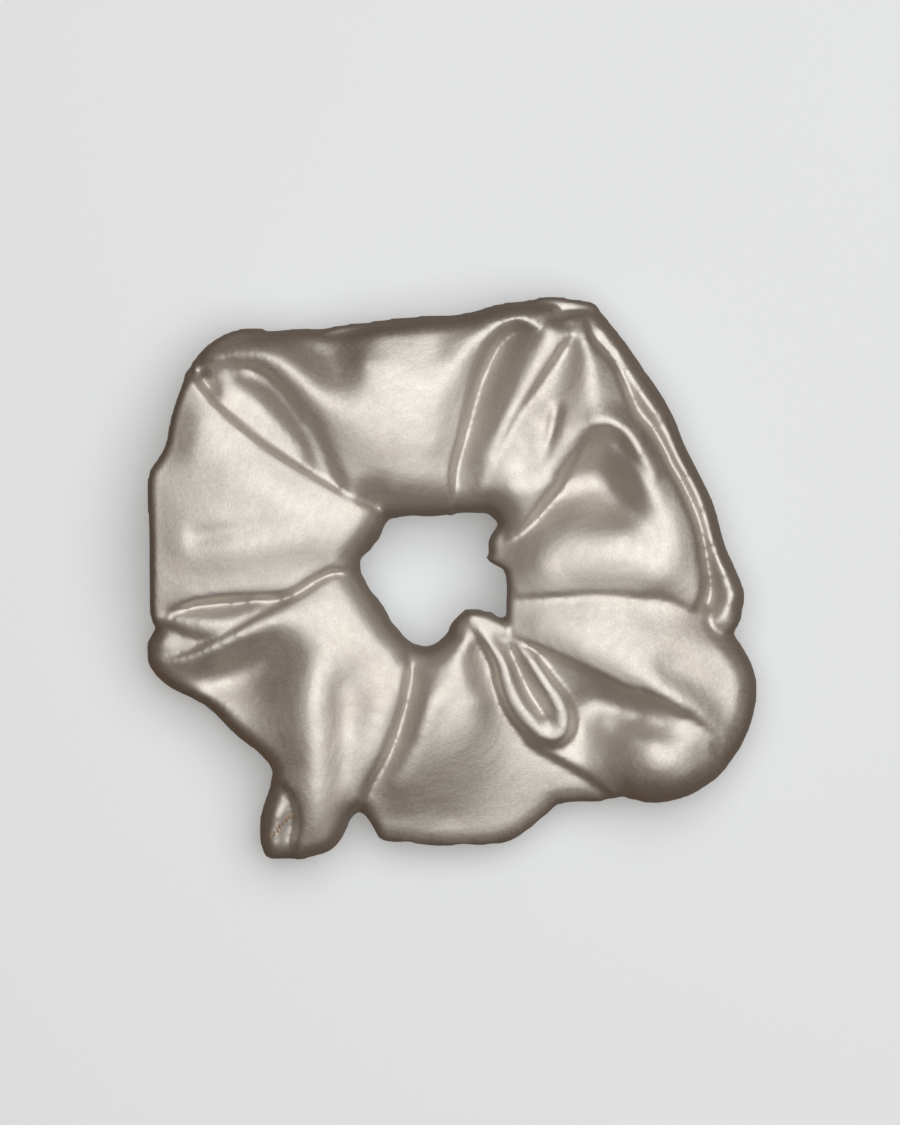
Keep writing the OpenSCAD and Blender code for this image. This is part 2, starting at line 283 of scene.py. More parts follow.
        (FOLD, [(32.7, -41.9, 13), (29.7, -40.7, 12.6), (24.5, -37.4, 13), (20.6, -35, 13.8),
                (14.9, -31.6, 14.8), (13, -29, 15)]),
        (TUCK, [(13, -29, 15), (14, -24, 14.6), (14, -18, 15), (12, -14, 15.6), (11.4, -12, 16),
                (12, -10, 16)]),
    ], "form": [
        [(23, -21, 15.4), (25, -25, 13.2), (24.8, -29, 12.8), (24.2, -33, 13.2)],
        [(27.6, -22.8, 13.4), (31.4, -24.8, 13.6), (35.4, -26.4, 15), (39.6, -28, 16.8)],
        [(29, -27, 14.2), (29, -31, 14.6), (27, -35, 14), (29, -38.6, 13.4)],
        [(34, -30, 17.4), (33.4, -33, 17.6), (33, -36, 17), (34.6, -39.6, 15.8)],
        [(38, -30.6, 18.8), (38, -33, 19.4), (39, -37, 18.8), (40, -40, 17)],
        [(43, -31.4, 18.6), (45, -34.4, 18.2), (48, -35.6, 16.4)],
    ]},
    "lower_loop": {"step": 1.0, "rim": [
        (TIGHT, [(2.8, -9, 18), (3.4, -7.7, 18.2), (6.3, -8.2, 18.2), (9.1, -9.6, 17.8),
                 (11.2, -11.2, 17.4)]),
        (CREASE, [(11.2, -11.2, 17.4), (14.9, -13.3, 18), (17.1, -16.2, 18.2), (20, -20.2, 18),
                  (21.9, -23, 17.6), (22.8, -25.9, 17.2), (22.5, -29.3, 16.8), (20, -31.6, 16.4),
                  (16.6, -31, 16.6), (13.1, -28.1, 17.2), (10.3, -24.2, 17.8), (8.6, -19.6, 18.1),
                  (8, -16.7, 18.2), (6.3, -13.3, 18.2), (4, -10.5, 18), (2.8, -9, 18)]),
    ], "form": [
        [(5, -9.6, 18.6), (7.8, -13, 18.6), (9.7, -17, 18.6), (10.2, -19.4, 18.5), (12, -23.6, 18.2),
         (14.8, -27.4, 17.7), (17.4, -29.6, 17.3), (19.6, -30.2, 17.2), (21.2, -29, 17.4),
         (21.4, -26, 17.8), (20.4, -23.2, 18.2), (18, -19.4, 18.6), (15.4, -15.6, 18.6), (13.6, -13.4, 18)],
        [(9.1, -11.6, 17.4), (10.9, -16.2, 18), (11.7, -19, 18), (13.4, -23, 17.8), (16, -26.4, 17.3),
         (17.9, -28.4, 17), (19.3, -28.6, 17.1), (19.8, -27, 17.5), (19.2, -24.7, 17.8),
         (17.1, -21.3, 18.1), (14.9, -17.9, 18.1), (12.9, -14.5, 18), (11.7, -12.7, 17.4)],
        [(10.8, -13.4, 16), (12.6, -17.6, 15.4), (13.6, -20, 15.2), (15.2, -23, 15.2), (17.2, -25.8, 15.4)],
    ]},
    "bottom": {"rim": [
        (HOLE, [(-9, -12.5, 15.6), (-5.6, -13.5, 16.8), (-3.6, -13.2, 17.4), (0, -10.7, 17.8)]),
        (TIGHT, [(0, -10.7, 17.8), (1.6, -8.8, 17.8), (3.9, -7.8, 17.6), (6.9, -8, 16.6)]),
        (TUCK, [(6.9, -8, 16.6), (9.4, -12, 15.6), (11, -18, 15.2), (13, -24, 14.4), (18, -29, 13),
                (24, -33, 11.8), (33, -41, 10.6)]),
        (SOFT, [(33, -41, 10.6), (28.1, -42.6, 10.4), (24.5, -42.6, 10.4), (19.9, -43.1, 10.4)]),
        (SOFT, [(19.9, -43.1, 10.4), (17.3, -45.7, 10), (13.1, -49, 9.8), (8.2, -50.8, 9.8),
                (1.6, -51.3, 9.8), (-6.6, -51.1, 10), (-11.5, -50.4, 10.2), (-14.1, -49.8, 10.4)]),
        (EDGE, [(-14.1, -49.8, 10.4), (-16, -46, 11.6), (-17.7, -43.1, 12.6)]),
        (TUCK, [(-17.7, -43.1, 12.6), (-19, -38, 14), (-15.5, -31, 14.6), (-12.5, -24, 15),
                (-11, -18, 15.4), (-9, -12.5, 15.6)]),
    ], "form": [
        [(2.6, -10.6, 18.4), (1.7, -11.8, 18.8), (1.2, -15.6, 18.9), (-2.3, -19.6, 18.9),
         (-5.2, -22.6, 18.7), (-7.3, -28.7, 18), (-8.6, -32.7, 17.2), (-10.8, -38.4, 15.6),
         (-12.6, -42.4, 13.2)],
        [(-6.6, -16, 16.4), (-7.6, -19.4, 15.8), (-8.4, -24, 15.4), (-9.7, -28.6, 15), (-11.6, -33, 14.6),
         (-14, -38.6, 14), (-15.4, -41, 13.2)],
        [(2.4, -19.4, 18.7), (-0.4, -23.6, 18.8), (-3.2, -29, 18.4), (-4.8, -34, 17.2), (-7, -40, 14.8),
         (-9.6, -45, 12)],
        [(5.4, -23.4, 17.4), (3.4, -28, 17.6), (1.8, -34, 16), (0.6, -39, 14), (0, -45, 11.2)],
        [(4.4, -13.6, 16.8), (5.6, -17, 16.2), (7.2, -21.4, 15.6), (9.8, -27, 14.4), (13.6, -32.2, 13),
         (19, -36, 12), (26, -39.8, 11)],
        [(8, -34, 14.2), (8, -40, 12.4), (14, -40, 11.6)],
    ]},
    "lower_left": {"rim": [
        (CREASE, [(-18.2, 1.4, 16.6), (-22.9, 0.6, 17.8), (-25.9, -1.1, 18.4), (-29.2, -3.3, 18.8),
                  (-34.9, -6.2, 18.9), (-40.1, -9, 18.8), (-45.4, -11.8, 18), (-49.5, -14, 17),
                  (-53.3, -15, 15.8), (-56.3, -14.6, 14.4), (-57.9, -13.4, 13.6)]),
        (EDGE, [(-57.9, -13.4, 13.6), (-57.4, -16.9, 13), (-53.7, -20.6, 13), (-46.2, -24.4, 14),
                (-41.6, -28.9, 14.8), (-35.6, -34.1, 15.4), (-33.9, -36.8, 15.6)]),
        (EDGE, [(-33.9, -36.8, 15.6), (-34, -38.6, 15.6), (-33, -39.4, 16.4)]),
        (FOLD, [(-33, -39.4, 16.4), (-30.4, -41.4, 17.4), (-29.4, -46.9, 16.4), (-30.6, -51, 14.6)]),
        (EDGE, [(-30.6, -51, 14.6), (-30, -53.4, 14), (-27.4, -52.9, 14.2), (-23.2, -51.4, 14.6),
                (-21, -48.4, 15), (-19.5, -45, 15.2), (-17.2, -43.4, 15.2)]),
        (FOLD, [(-17.2, -43.4, 15.2), (-16, -39.6, 16), (-12.5, -33.4, 17.2), (-10, -26.6, 17.6),
                (-8.5, -20, 17.8), (-8, -14, 17.4)]),
        (HOLE, [(-8, -14, 17.4), (-8.4, -12.4, 17.2), (-10, -10.8, 17.2), (-12.5, -7.4, 17.2),
                (-15, -3.6, 17.2), (-18.2, 1.4, 16.6)]),
    ], "form": [
        [(-24.6, -5, 19.6), (-25.2, -12, 20.2), (-25.4, -20, 20.6), (-25.4, -28, 20.4), (-25.6, -36, 19.6),
         (-26, -43, 18.4), (-25.6, -48, 16.6)],
        [(-50, -15.8, 16.4), (-45, -13.6, 18.2), (-40, -11, 19.2), (-35, -8.4, 19.6), (-30, -6, 19.6)],
        [(-47, -17.4, 14.6), (-43, -15.6, 15.4), (-38.6, -13.6, 16.4), (-34.6, -11.6, 17.8)],
        [(-47, -19.4, 13.2), (-43, -18.8, 13), (-39, -18, 13.4), (-35, -16, 15), (-32.4, -13.4, 17.2)],
        [(-43, -22.4, 13.6), (-39, -23.6, 14.6), (-35, -23.4, 16.2), (-31.8, -19, 17.8)],
        [(-38, -28, 15.6), (-33, -30, 17.4), (-31, -36, 17.4)],
        [(-20.4, -20, 18.8), (-20, -25, 18.2), (-19.8, -31, 18.2), (-20.6, -37, 17.6)],
        [(-13.2, -18, 18.6), (-13.4, -24, 18.8), (-15.4, -31, 18.4), (-18.6, -38, 17.2)],
        [(-15, -10, 18.8), (-20, -4, 18.8)],
    ]},
    "left_roll": {"rim": [
        (TUCK, [(-54.8, -6, 14), (-50, -2, 16), (-43, -1, 16.8), (-34, -1, 17.2), (-26, 1.5, 17)]),
        (TUCK, [(-26, 1.5, 17), (-27, -4, 17.4), (-36, -9, 17.8)]),
        (FOLD, [(-36, -9, 17.8), (-42, -12, 17.4), (-44, -12.2, 17.2), (-49, -11.4, 16.8), (-53, -9.9, 16),
                (-55.4, -8.4, 14.8)]),
        (EDGE, [(-55.4, -8.4, 14.8), (-54.8, -6, 14)]),
    ], "form": [
        [(-53, -7.4, 16.4), (-48, -8, 17.6), (-43, -7.8, 17.9), (-37, -5.6, 17.9)],
        [(-52, -9.2, 16.4), (-47, -10.4, 17.4), (-43, -10.4, 17.8), (-38, -8.6, 17.9)],
        [(-51, -5, 15.2), (-46, -4.6, 15.4), (-40, -4, 15.6), (-34, -3, 16.4)],
    ]},
    "left_pocket": {"rim": [
        (TUCK, [(-54, -6, 13.8), (-46, -9, 15.4), (-40, -11, 16.8), (-44, -14, 16.6), (-50, -16, 15.4)]),
        (EDGE, [(-50, -16, 15.4), (-55, -17, 14), (-58, -13.8, 13.6), (-57.3, -11.5, 13.6),
                (-55.6, -8.6, 13.6), (-54, -6, 13.8)]),
    ], "form": [
        [(-55, -12, 15), (-50, -12.8, 15.8), (-46, -12.4, 16.4)],
    ]},
    "tail": {"rim": [
        (SIDE, [(-32, -37.5, 14.8), (-33.9, -37, 14.8), (-34.9, -40.2, 14.4), (-36.4, -44.7, 13.6),
                (-36.8, -49.2, 13), (-35.6, -53.2, 12.6), (-31.9, -53.7, 12.6), (-28, -53, 12.6)]),
        (TUCK, [(-28, -53, 12.6), (-25, -48, 14), (-26, -42, 15), (-29, -38, 15), (-32, -37.5, 14.8)]),
    ], "form": [
        [(-33.2, -41, 15.8), (-33.8, -45, 15.4), (-34.4, -49, 14.4), (-33.6, -51.6, 13.6)],
        [(-31.2, -42.6, 14.8), (-31.6, -46, 13.6), (-32, -49.6, 12.6)],
    ]},
}

# A dent and a groove in the panels: (width, points along it with how far the cloth rises).
STROKES = [
    # The dent across the left panel
    (2.0, [(-51, 7.8, 0), (-47.5, 8.0, -0.6), (-40, 9.2, -0.4), (-34, 9.8, -0.2), (-28, 10, 0)]),
    # The groove in the puff right of the top
    (1.1, [(20.2, 34, 0), (19.7, 31.4, -0.9), (18.8, 27.6, -0.9), (17.8, 24.4, -0.5),
           (16.6, 21, 0)]),
]

# Folds of the underside, from the hole outwards: (angle in degrees, turn on the way, depth).
UNDER_FOLDS = [
    (8, -10, 2.6), (31, 8, 3.2), (52, -6, 2.4), (74, 12, 3.4), (97, -8, 2.8), (121, 6, 3.4),
    (146, -12, 2.4), (166, 8, 3.0), (189, -6, 3.4), (214, 10, 2.6), (233, -8, 3.2),
    (256, 6, 3.6), (281, -10, 2.6), (304, 12, 3.2), (327, -6, 3.4), (347, 8, 2.2),
]
# Their course: (share of the way out, share of the depth).
UNDER_COURSE = ((0.0, 0.9), (0.35, 1.0), (0.7, 0.8), (1.0, 1.0))
UNDER_REACH = (10.0, 58.0)  # radii between which those folds run
UNDER_VALLEY = (3.6, 0.6)   # width of each one's valley and share of its depth
UNDER_CREASE = (1.1, 0.4)   # the same for the crease along the valley
SEAM_R = 33.5               # radius of the lengthwise seam on the underside
SEAM_FOLD = (1.2, 0.7)      # width and depth of that seam's crease

VOXEL = 0.5  # edge of the mesh's cells
COARSE = 2                  # cells of the inner face, in cells of the outer one
SPAN = (62.0, 58.0, 30.0)   # half width, half depth and height of the grid
GRID_FLOOR = -1.5           # where the grid starts, below the table
KNOT_STEP = 3.0             # spacing of the points that shape a panel
MELT = 0.5                  # how softly a panel runs into the one below it
CLIFF = 4.0                 # how steeply a panel ends past its rim
SHEER_REACH = 2.0           # how far the side under a tight rim bulges out
SHEER_DROP = 8.0            # how far it has dropped by there
SHEER_TURN = 6              # how squarely it turns down
PLUNGE = 16                 # how steeply it ends past that
UNSEEN = -40.0              # height below every panel
SUNK = -6                   # height that the top is cut off at beyond the ring
GAP = 2.0                   # half the width of the gaps that the outline closes
BELLY = (9.0, 8.0)          # turn of the underside: radius and rise at the rim
UPRIGHT = 0.999             # how near to upright that turn gets
LEAST = 3.0                 # least thickness of the ring away from its edges
THIN_RIM = 1.5              # how near the edges it may be thinner
EVEN_SHARE = 0.55           # how far a round of evening out moves a point
EVEN_BACK = 1.02            # and how much further it is moved back
OUTER_ROUNDS = 6            # rounds for the outer face of the cloth
INNER_ROUNDS = 3            # and for the inner one
INSET = 1.0                 # how far the inner face stays in from the sides
WALL = 0.45                 # from the outer face of the cloth to the inner one


def panel_height(panel, x, y):
    """One panel's height over x, y, and whether it covers them."""
    step = panel.get("step", KNOT_STEP)
    runs = [(turn, smooth_line(points, 1.0)) for turn, points in panel["rim"]]
    loop = np.vstack([line[:-1] for _, line in runs])
    forms = [smooth_line(f, step) if len(f) > 1 else np.array(f, float) for f in panel["form"]]
    knots = np.vstack([line[::math.ceil(step)] for _, line in runs] + forms)
    distances = [line_field(line, x, y)[0] for _, line in runs]
    within = inside(loop, x, y)
    out = np.where(within, 0.0, np.minimum.reduce(distances))
    fall = np.zeros(x.shape)
    for ((radius, drop), _), distance in zip(runs, distances):
        if radius:
            reach = np.clip(1 - np.maximum(distance - 2 * out, 0) / radius, 0, 1)
            fall = np.maximum(fall, drop * (1 - np.sqrt(1 - reach ** 2)))
    z = np.clip(thin_plate(knots, x, y), knots[:, 2].min() - 1, knots[:, 2].max() + 1)
    nearest = np.argmin(distances, axis=0)
    tight = np.isin(nearest, [i for i, (turn, _) in enumerate(runs) if turn == TIGHT])
    bulge = SHEER_DROP * (np.minimum(out, SHEER_REACH) / SHEER_REACH) ** SHEER_TURN
    side = bulge + PLUNGE * np.maximum(out - SHEER_REACH, 0)
    return z - fall - np.where(tight, side, CLIFF * out), within


def grown(mask, steps):
    """The mask with steps more cells all round."""
    for _ in range(steps):
        mask = (mask | np.roll(mask, 1, 0) | np.roll(mask, -1, 0)
                | np.roll(mask, 1, 1) | np.roll(mask, -1, 1))
    return mask


def edge_distance(mask, x, y):
    """Distance of each point inside the mask from its edge."""
    edge = mask & grown(~mask, 1)
    ex, ey = x[edge][::2], y[edge][::2]
    reach = np.full(x.shape, FAR)
    for px, py in zip(ex, ey):
        reach = np.minimum(reach, (x - px) ** 2 + (y - py) ** 2)
    return np.where(mask, np.sqrt(reach), 0)


def strokes(lines, x, y):
    """Rise and fall of narrow folds over x, y."""
    rise = np.zeros(x.shape)
    for width, points in lines:
        distance, height = line_field(smooth_line(points, 1.0), x, y)
        rise += height * np.exp(-(distance / width) ** 2)
    return rise


def under_folds():
    """The gathers of the underside, each a broad valley with a crease in it, and the seam."""
    lines = []
    for angle, turn, depth in UNDER_FOLDS:
        points = []
        for t, share in UNDER_COURSE:
            r = UNDER_REACH[0] + t * (UNDER_REACH[1] - UNDER_REACH[0])
            a = math.radians(angle + turn * t)
            points.append((r * math.cos(a), r * math.sin(a), depth * share))
        width, part = UNDER_VALLEY
        lines.append((width, [(px, py, part * d) for px, py, d in points]))
        width, part = UNDER_CREASE
        crease = [(px, py, part * d) for px, py, d in points[:-1]]
        lines.append((width, crease + [points[-1][:2] + (0,)]))
    width, depth = SEAM_FOLD
    seam = [math.radians(a) for a in range(0, 361, 12)]
    lines.append((width, [(SEAM_R * math.cos(a), SEAM_R * math.sin(a), depth) for a in seam]))
    return lines


def blurred(a):
    """The heights with each cell eased towards its neighbours, so that folds run smoothly."""
    for axis in (0, 1):
        a = (np.roll(a, 1, axis) + 2 * a + np.roll(a, -1, axis)) / 4
    return a


def heights():
    """The top and the underside of the whole ring over a grid."""
    xs = np.arange(-SPAN[0], SPAN[0] + VOXEL, VOXEL)
    ys = np.arange(-SPAN[1], SPAN[1] + VOXEL, VOXEL)
    x, y = np.meshgrid(xs, ys, indexing="ij")
    top = np.full(x.shape, UNSEEN)
    cover = np.zeros(x.shape, bool)
    for panel in PANELS.values():
        z, within = panel_height(panel, x, y)
        melt = panel.get("melt", MELT)
        near = np.maximum(melt - abs(top - z), 0) / melt
        top = np.maximum(top, z) + near ** 2 * melt / 4
        cover |= within
    top = blurred(np.maximum(top, SUNK) + strokes(STROKES, x, y))
    closing = round(GAP / VOXEL)
    cover = ~grown(~grown(cover, closing), closing)
    reach = edge_distance(cover, x, y)
    bend = np.clip(1 - reach / BELLY[0], 0, 1)
    under = blurred(blurred(BELLY[1] * (1 - np.sqrt(1 - UPRIGHT * bend ** 2))))
    under += strokes(under_folds(), x, y)
    top = np.where(reach > THIN_RIM, np.maximum(top, under + LEAST), top)
    return xs, ys, top, under


def spread(a, steps, pick):
    """The lowest or highest value within steps cells, as pick is np.minimum or np.maximum."""
    for _ in range(steps):
        a = pick.reduce([a, np.roll(a, 1, 0), np.roll(a, -1, 0)])
        a = pick.reduce([a, np.roll(a, 1, 1), np.roll(a, -1, 1)])
    return a


def surface_net(field, origin, step):
    """A mesh of quads round the cells where field is negative, with smooth placing."""
    neg = field < 0
    corners = [(i, j, k) for i in (0, 1) for j in (0, 1) for k in (0, 1)]
    shape = np.array(field.shape) - 1

    def view(a, c):
        return a[c[0]:shape[0] + c[0], c[1]:shape[1] + c[1], c[2]:shape[2] + c[2]]
    count = sum(view(neg, c).astype(np.int8) for c in corners)
    active = (count > 0) & (count < 8)
    cells = np.argwhere(active)
    index = np.full(active.shape, -1, np.int64)
    index[active] = np.arange(len(cells))
    total, weight = np.zeros((len(cells), 3)), np.zeros(len(cells))
    for axis in range(3):
        for c in corners:
            if c[axis]:
                continue
            e = list(c)
            e[axis] = 1
            a, b = view(field, c)[active], view(field, e)[active]
            cross = (a < 0) != (b < 0)
            t = np.where(cross, a / np.where(cross, a - b, 1), 0)
            point = np.tile(np.array(c, float), (len(cells), 1))
            point[:, axis] = t
            total += point * cross[:, None]
            weight += cross
    verts = (cells + total / weight[:, None]) * step + origin
    quads = []
    for axis in range(3):
        u, v = (axis + 1) % 3, (axis + 2) % 3
        lo, hi = [slice(1, -1)] * 3, [slice(1, -1)] * 3
        lo[axis], hi[axis] = slice(0, -1), slice(1, None)
        a, b = neg[tuple(lo)], neg[tuple(hi)]
        for flip, mask in ((False, a & ~b), (True, ~a & b)):
            at = np.argwhere(mask)
            at[:, u] += 1
            at[:, v] += 1
            ring = []
            for du, dv in ((-1, -1), (0, -1), (0, 0), (-1, 0)):
                cell = at.copy()
                cell[:, u] += du
                cell[:, v] += dv
                ring.append(index[cell[:, 0], cell[:, 1], cell[:, 2]])
            quad = np.stack(ring, 1)
            quads.append(quad[:, ::-1] if flip else quad)
    return verts, np.vstack(quads)


def relax(verts, quads, rounds):
    """Evens out the steps of the grid, with a move back after each so that nothing shrinks."""
    a = quads.ravel()
    b = np.roll(quads, -1, 1).ravel()
    degree = np.bincount(a, minlength=len(verts)) + np.bincount(b, minlength=len(verts))
    for i in range(2 * rounds):
        mean = np.zeros_like(verts)
        for axis in range(3):
            mean[:, axis] = (np.bincount(a, verts[b, axis], len(verts))
                             + np.bincount(b, verts[a, axis], len(verts)))
        mean /= degree[:, None]
        share = EVEN_SHARE if i % 2 == 0 else -EVEN_SHARE * EVEN_BACK
        verts = verts + share * (mean - verts)
    return verts


def mesh_object(name, verts, faces):
    """A smooth mesh in the scene, from arrays of points and faces."""
    mesh = bpy.data.meshes.new(name)
    mesh.from_pydata(verts.tolist(), [], faces.tolist())
    mesh.shade_smooth()
    mesh.validate()
    obj = bpy.data.objects.new(name, mesh)
    bpy.context.scene.collection.objects.link(obj)
    return obj


def skin(xs, ys, top, under, step, rounds):
    """The closed surface between the underside and the top."""
    zs = np.arange(GRID_FLOOR, SPAN[2], step)
    field = np.maximum(zs - top[..., None], under[..., None] - zs)
    verts, quads = surface_net(field, np.array([xs[0], ys[0], zs[0]]), step)
    verts = relax(verts, quads, rounds)
    verts[:, 2] = np.maximum(verts[:, 2], 0)
    return verts, quads


def add_cloth_uv(mesh):
    """Lays the strip out flat: U runs round the ring, V across it, in decimetres."""
    at = np.zeros(len(mesh.vertices) * 3)
    mesh.vertices.foreach_get("co", at)
    corner = np.zeros(len(mesh.loops), np.int64)
    mesh.loops.foreach_get("vertex_index", corner)
    x, y, z = at.reshape(-1, 3)[corner].T
    turn = np.arctan2(y, x).reshape(-1, 4)
    past = turn - turn[:, :1]
    turn = turn + 2 * np.pi * (past < -np.pi) - 2 * np.pi * (past > np.pi)
    decimetres = 10
    across = np.hypot(x, y) + z
    uv = np.stack([turn.ravel() * SEAM_R * MM * decimetres, across * decimetres], 1)
    layer = mesh.uv_layers.new(name="cloth")
    layer.data.foreach_set("uv", uv.astype(np.float32).ravel())


def build_cover(xs, ys, top, under):
    """The satin tube as cloth: its outer face, and its inner face just inside."""
    outer, outer_quads = skin(xs, ys, top, under, VOXEL, OUTER_ROUNDS)
    margin = round(INSET / VOXEL)
    inner_top = spread(top, margin, np.minimum)[::COARSE, ::COARSE] - WALL
    inner_under = spread(under, margin, np.maximum)[::COARSE, ::COARSE] + WALL
    inner, inner_quads = skin(xs[::COARSE], ys[::COARSE], inner_top, inner_under,
                              COARSE * VOXEL, INNER_ROUNDS)
    inner[:, 2] = np.maximum(inner[:, 2], WALL)
    verts = np.vstack([outer, inner])
    quads = np.vstack([outer_quads, inner_quads[:, ::-1] + len(outer)])
    obj = mesh_object("satin_cover", verts * MM, quads)
    add_cloth_uv(obj.data)
    return obj

# -------- elastic and thread

ELASTIC_THICKNESS = 1.2
JOIN_ANGLE = 176        # the middle of the elastic's overlap, in degrees round the ring
JOIN_HALF = 13          # and half the overlap's length, in degrees
THREAD_R = 0.2          # radius of the sewing thread
JOIN_THREAD_R = 0.22    # radius of the thread of the elastic's join
THREAD_END = 0.45       # radius of a thread's ends, as a share of the rest
# The hand-sewn line that closes the tail
CLOSING_LINE = [(-34.9, -49.2, 0), (-33.6, -48.4, 0), (-32.7, -47.1, 0), (-31.4, -45.8, 0),
                (-30.4, -45, 0)]


def loft(rings, closed):
    """Vertices and quads of a tube through rings of points; closed joins its two ends."""
    rings = np.array(rings, float)
    m, n = rings.shape[:2]
    quads = []
    for i in range(m if closed else m - 1):
        a, b = i * n, (i + 1) % m * n
        quads += [(a + j, b + j, b + (j + 1) % n, a + (j + 1) % n) for j in range(n)]
    return rings.reshape(-1, 3), quads


def thread_tubes(name, paths, radius, sides=8):
    """One mesh of round threads, each with tapered ends, along paths of points."""
    verts, faces = [], []
    slanted = Vector((0.1, 0.2, 1))
    for path in paths:
        p = [Vector(q) for q in path]
        rings = []
        for i, here in enumerate(p):
            along = (p[min(i + 1, len(p) - 1)] - p[max(i - 1, 0)]).normalized()
            across = along.cross(slanted).normalized()
            other = along.cross(across)
            r = radius * (THREAD_END if i in (0, len(p) - 1) else 1)
            rings.append([here + r * (math.cos(t) * across + math.sin(t) * other)
                          for t in (2 * math.pi * k / sides for k in range(sides))])
        tube, quads = loft(rings, False)
        base = len(verts)
        verts += [tuple(v) for v in tube]
        faces += [tuple(base + v for v in q) for q in quads]
        faces.append(tuple(base + k for k in reversed(range(sides))))
        faces.append(tuple(base + len(tube) - sides + k for k in range(sides)))
    mesh = bpy.data.meshes.new(name)
    mesh.from_pydata(verts, [], faces)
    mesh.validate()
    bm = bmesh.new()
    bm.from_mesh(mesh)
    bmesh.ops.recalc_face_normals(bm, faces=bm.faces)
    bm.to_mesh(mesh)
    bm.free()
    mesh.shade_smooth()
    obj = bpy.data.objects.new(name, mesh)
    bpy.context.scene.collection.objects.link(obj)
    return obj


def stitch_path(start, end, rise, points=7):
    """A stitch that rises out of the cloth and goes back in."""
    a, b = Vector(start), Vector(end)
    sunk = 0.6
    return [a.lerp(b, t) + Vector((0, 0, rise * (math.sin(math.pi * t) - sunk)))
            for t in (i / (points - 1) for i in range(points))]


def band_place():
    """Centre, radius, half height and thickness of the elastic, as the CAD has it."""
    low_l, high_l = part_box("elastic_band_left")
    low_r, high_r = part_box("elastic_band_right")
    thickness = ELASTIC_THICKNESS * MM
    radius = (high_r[1] - low_r[1] - thickness) / 2
    centre = Vector((high_r[0] - thickness / 2 - radius, (high_r[1] + low_r[1]) / 2,
                     (low_l[2] + high_l[2]) / 2))
    return centre, radius, (high_l[2] - low_l[2]) / 2, thickness


def build_elastic():
    """A flat braided elastic: seven cords side by side, lapped over itself at the join."""
    centre, radius, half, thickness = band_place()
    stations, cords = 288, 7
    lap, end_slope = math.radians(JOIN_HALF), 0.012
    join = math.radians(JOIN_ANGLE)
    between, bulge = 0.78, 0.22
    ripples, ripple_depth = 96, 0.04 * MM
    edge_turn, least_edge = 8, 0.05
    rings = []
    for i in range(stations):
        a = 2 * math.pi * i / stations
        off = abs((a - join + math.pi) % (2 * math.pi) - math.pi)
        doubled = 1 / (1 + math.exp((off - lap) / end_slope))
        ripple = ripple_depth * math.sin(ripples * a)
        section = []
        for k in range(4 * cords):
            side, t = (1, k / (2 * cords)) if k < 2 * cords else (-1, 2 - k / (2 * cords))
            swell = between + bulge * abs(math.sin(math.pi * t * cords))
            edge = math.sqrt(max(least_edge, 1 - (2 * t - 1) ** edge_turn))
            depth = side * (thickness / 2 * swell * edge + ripple)
            if side > 0:
                depth += doubled * thickness
            z = (2 * t - 1) * half
            r = radius + depth
            section.append(centre + Vector((r * math.cos(a), r * math.sin(a), z)))
        rings.append(section)
    verts, quads = loft(rings, True)
    return mesh_object("elastic_band", verts, np.array(quads)[:, ::-1])


def build_join_stitches():
    """A zigzag row, worked back and forth over the lapped ends."""
    centre, radius, half, thickness = band_place()
    face = radius + 1.62 * thickness
    turns, per_turn = 9, 6
    rise, stitched = 0.62 * half, 0.8
    bite, bite_turn = 0.12 * MM, 6
    path = []
    for i in range(turns * per_turn + 1):
        t = i / (turns * per_turn)
        a = math.radians(JOIN_ANGLE + (2 * t - 1) * stitched * JOIN_HALF)
        swing = 2 * abs((t * turns) % 1 - 0.5) * 2 - 1
        r = face - bite * abs(swing) ** bite_turn
        path.append(centre + Vector((r * math.cos(a), r * math.sin(a), rise * swing)))
    return thread_tubes("elastic_join_stitches", [path], JOIN_THREAD_R * MM)


def build_long_seam():
    """Machine stitches along the inside of the tube, over the lengthwise seam."""
    low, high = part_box("long_seam_thread_left")
    lift, rise = 0.6 * MM, 0.25 * MM
    level = (low[2] + high[2]) / 2 + lift
    count, share = 84, 0.74
    paths = []
    for i in range(count):
        ends = [2 * math.pi * (i + k) / count for k in (0.5 - share / 2, 0.5 + share / 2)]
        start, end = [(SEAM_R * MM * math.cos(a), SEAM_R * MM * math.sin(a), level) for a in ends]
        paths.append(stitch_path(start, end, rise))
    return thread_tubes("long_seam_stitches", paths, THREAD_R * MM)


def build_closing_stitches(xs, ys, top):
    """Small slanted hand stitches over the folded edge of the tail."""
    line = smooth_line(CLOSING_LINE, 0.2)
    lengths = np.concatenate([[0], np.cumsum(np.hypot(*np.diff(line[:, :2], axis=0).T))])
    count, share, slant = 7, 0.72, 0.35
    lift, rise = 0.15, 0.4 * MM
    paths = []
    for i in range(count):
        at = lengths[-1] * (i + 0.5) / count
        half = share / 2 * lengths[-1] / count
        ends = [np.array([np.interp(at + d, lengths, line[:, k]) for k in (0, 1)])
                for d in (-half, half)]
        run = (ends[1] - ends[0]) / np.linalg.norm(ends[1] - ends[0])
        side = np.array([-run[1], run[0]]) * slant
        points = []
        for place in (ends[0] - side, ends[1] + side):
            i_x = int(np.argmin(abs(xs - place[0])))
            i_y = int(np.argmin(abs(ys - place[1])))
            points.append((place[0] * MM, place[1] * MM, (top[i_x, i_y] + lift) * MM))
        paths.append(stitch_path(points[0], points[1], rise))
    return thread_tubes("closing_hand_stitches", paths, THREAD_R * MM)

# -------- materials

